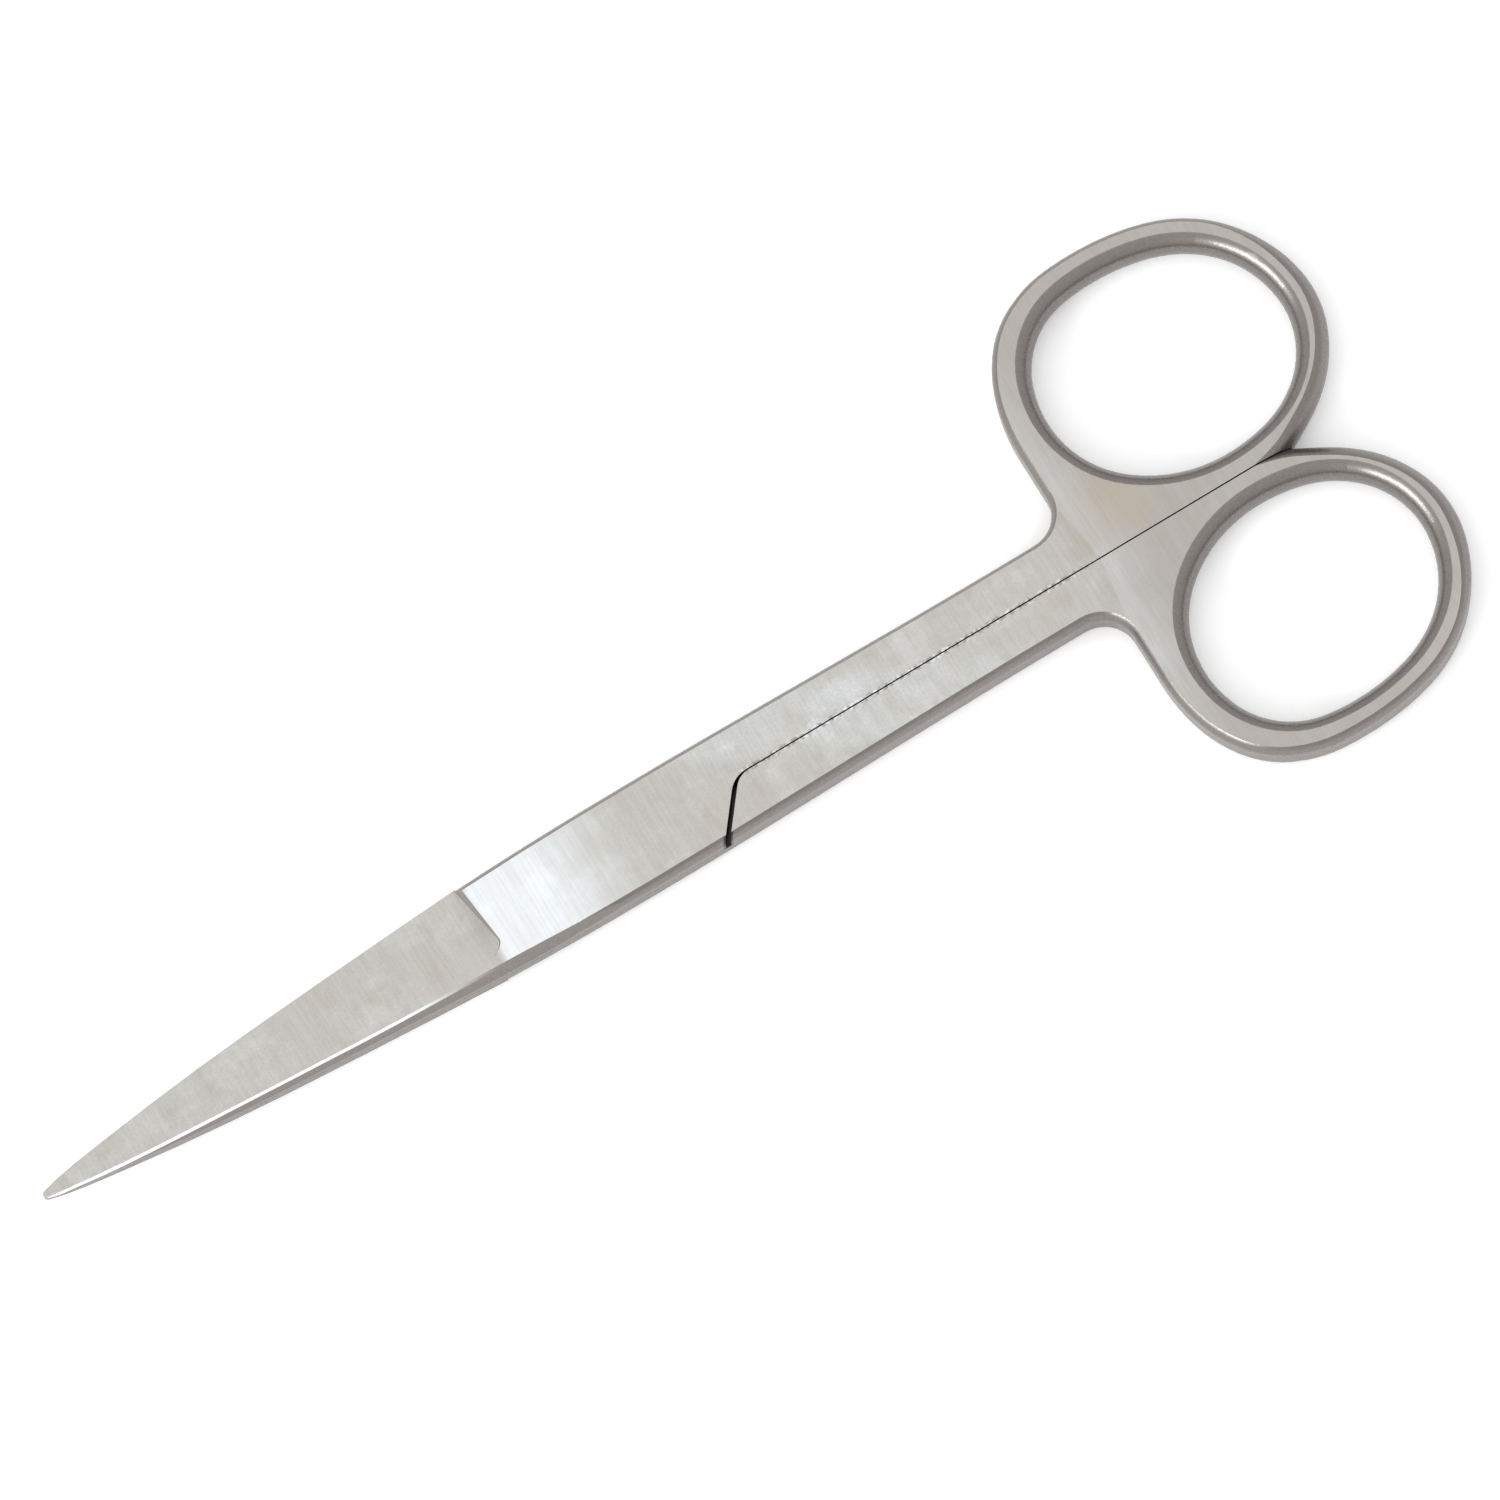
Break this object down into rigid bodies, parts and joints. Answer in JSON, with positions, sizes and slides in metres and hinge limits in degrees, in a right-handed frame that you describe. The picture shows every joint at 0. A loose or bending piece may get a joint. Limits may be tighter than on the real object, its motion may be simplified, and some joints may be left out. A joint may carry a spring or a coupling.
{
  "type": "dressing_scissors",
  "caption": "Straight sharp-pointed dressing scissors in satin stainless steel, lap-jointed halves with a closed shank seam and round finger rings",
  "frame": {"origin": "centre of the closed pair's outline in plan, on the plane of the lower outer faces", "axes": "+X from the points toward the finger rings, +Y toward the front half's ring, +Z out of the front half's outer face"},
  "size_m": [0.1302, 0.0482, 0.0038],
  "materials": {
    "satin_steel": "satin, fine grinding lines across the blades",
    "screw_steel": "turned, slightly brighter than the halves"
  },
  "bodies": {
    "rear": {"rear_half": "satin_steel"},
    "front": {"front_half": "satin_steel", "pivot_screw": "screw_steel"}
  },
  "joints": [
    {"name": "pivot", "type": "hinge", "parent": "rear", "child": "front", "pos_m": [-0.00969, 0, 0.0019], "axis": [0, 0, 1], "range_deg": [0, 120]}
  ]
}
